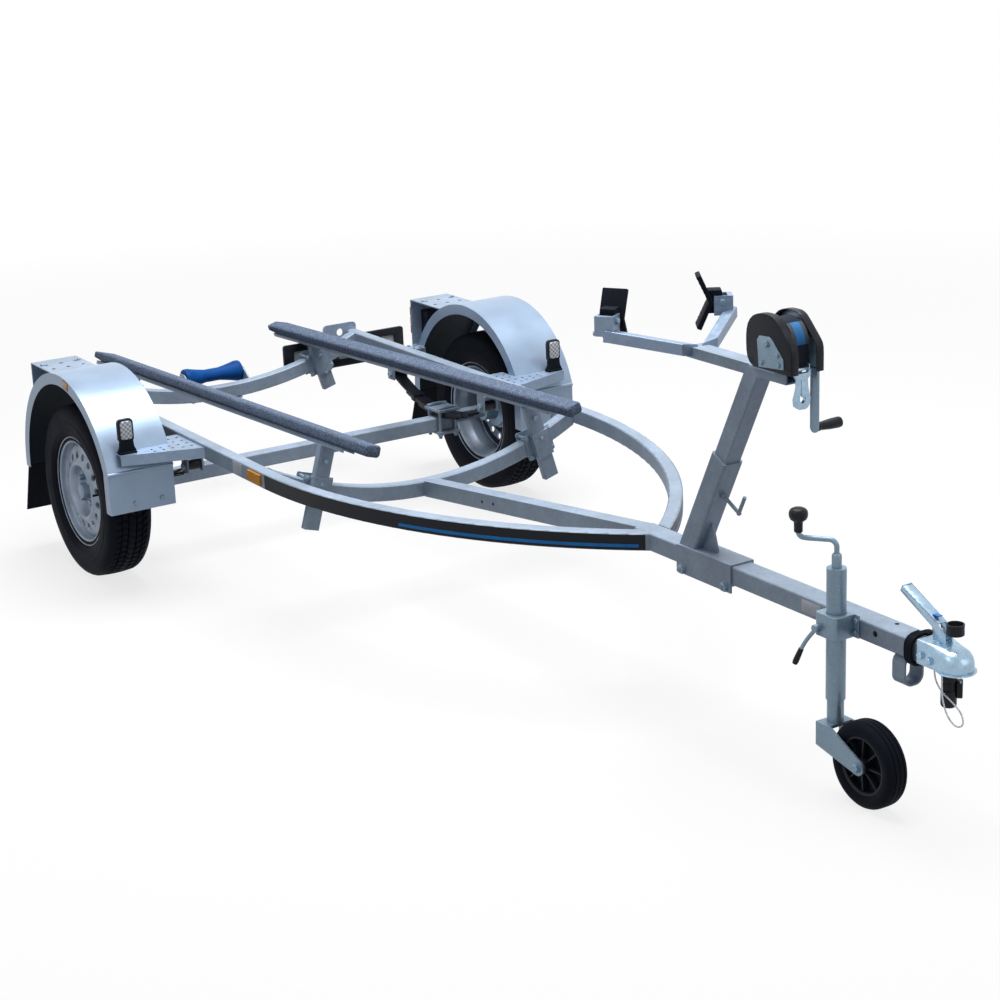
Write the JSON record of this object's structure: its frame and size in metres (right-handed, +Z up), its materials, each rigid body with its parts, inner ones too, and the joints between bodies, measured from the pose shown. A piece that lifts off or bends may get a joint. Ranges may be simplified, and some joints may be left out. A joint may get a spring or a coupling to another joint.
{
  "type": "boat trailer",
  "caption": "Single-axle galvanised boat trailer with swept side rails, carpeted bunks, keel roller, winch post with bow stop, jockey wheel and ball coupling.",
  "frame": {"origin": "on the ground and on the centre line, half way along the length from the coupling's nose to the bunks' rear tips", "axes": "+X forward along the trailer to the coupling, +Y to the trailer's left, +Z up"},
  "size_m": [4.1506, 1.75, 1.1838],
  "materials": {
    "galvanised": "hot-dip galvanised, satin",
    "zinc": "bright zinc plate",
    "tyre": "moulded rubber",
    "rim": "silver satin",
    "black_steel": "satin black",
    "black_rubber": "matt",
    "black_plastic": "moulded",
    "carpet": "speckled loop carpet",
    "blue_rubber": "moulded",
    "red_lens": "ribbed lens",
    "amber_lens": "ribbed lens",
    "webbing": "woven",
    "steel_rope": "stranded"
  },
  "bodies": {
    "chassis": {"axle": "galvanised", "axle_clamps": "galvanised", "bunk_channels": "galvanised", "bunk_left": "carpet", "bunk_posts": "galvanised", "bunk_right": "carpet", "cable_coil": "black_rubber", "cable_hanger": "galvanised", "cable_lead": "black_rubber", "centre_bar": "galvanised", "coupling_handle": "zinc", "coupling_head": "zinc", "crossbeam_front": "galvanised", "crossbeam_rear": "galvanised", "drawbar": "galvanised", "fender_left": "galvanised", "fender_right": "galvanised", "fender_stays": "galvanised", "jockey_clamp": "zinc", "jockey_crank": "zinc", "jockey_tube": "zinc", "lamp_brackets": "galvanised", "leaf_springs": "black_steel", "marker_lamps": "amber_lens", "mudflaps": "black_rubber", "plate_holder": "black_plastic", "plug": "black_plastic", "plug_dock": "black_plastic", "post_clamps": "galvanised", "post_sleeve": "galvanised", "rail_left": "galvanised", "rail_right": "galvanised", "roller_cradle": "galvanised", "safety_cable": "steel_rope", "side_reflectors": "amber_lens", "spring_hangers": "galvanised", "step_plates": "galvanised", "tail_lamps": "red_lens", "winch_saddle": "galvanised"},
    "wheel_right": {"tyre_right": "tyre", "rim_right": "rim", "hub_right": "zinc"},
    "wheel_left": {"tyre_left": "tyre", "rim_left": "rim", "hub_left": "zinc"},
    "keel_roller": {"keel_roller": "blue_rubber"},
    "winch_post": {"winch_post": "galvanised", "winch_platform": "galvanised", "bow_fork": "galvanised", "bow_pads": "black_rubber", "winch_frame": "zinc", "winch_strap": "webbing"},
    "winch_drum": {"winch_drum": "zinc"},
    "winch_crank": {"winch_crank": "zinc"},
    "jockey_slide": {"jockey_inner": "zinc"},
    "jockey_fork": {"jockey_fork": "zinc"},
    "jockey_wheel": {"jockey_wheel": "black_rubber"}
  },
  "joints": [
    {"name": "wheel_right_spin", "type": "hinge", "parent": "chassis", "child": "wheel_right", "pos_m": [-1.156, -0.77, 0.287], "axis": [0, 1, 0], "continuous": true},
    {"name": "wheel_left_spin", "type": "hinge", "parent": "chassis", "child": "wheel_left", "pos_m": [-1.156, 0.77, 0.287], "axis": [0, 1, 0], "continuous": true},
    {"name": "keel_roller_spin", "type": "hinge", "parent": "chassis", "child": "keel_roller", "pos_m": [-1.878, 0, 0.405], "axis": [0, 1, 0], "continuous": true},
    {"name": "winch_post_slide", "type": "slide", "parent": "chassis", "child": "winch_post", "axis": [0.454, 0, 0.891], "range_m": [-0.05, 0.12]},
    {"name": "winch_drum_spin", "type": "hinge", "parent": "winch_post", "child": "winch_drum", "pos_m": [1.41633, 0, 1.114], "axis": [0, 1, 0], "continuous": true},
    {"name": "winch_crank_spin", "type": "hinge", "parent": "winch_post", "child": "winch_crank", "pos_m": [1.44833, 0.06, 1.056], "axis": [0, 1, 0], "continuous": true},
    {"name": "jockey_lift", "type": "slide", "parent": "chassis", "child": "jockey_slide", "axis": [0, 0, 1], "range_m": [-0.15, 0.05]},
    {"name": "jockey_swivel", "type": "hinge", "parent": "jockey_slide", "child": "jockey_fork", "pos_m": [1.684, -0.062, 0.235], "axis": [0, 0, 1], "continuous": true},
    {"name": "jockey_wheel_spin", "type": "hinge", "parent": "jockey_fork", "child": "jockey_wheel", "pos_m": [1.806, -0.062, 0.165], "axis": [0, 1, 0], "continuous": true}
  ],
  "couplings": [
    {"joint": "winch_crank_spin", "follows": "winch_drum_spin", "ratio": -3.5915}
  ]
}
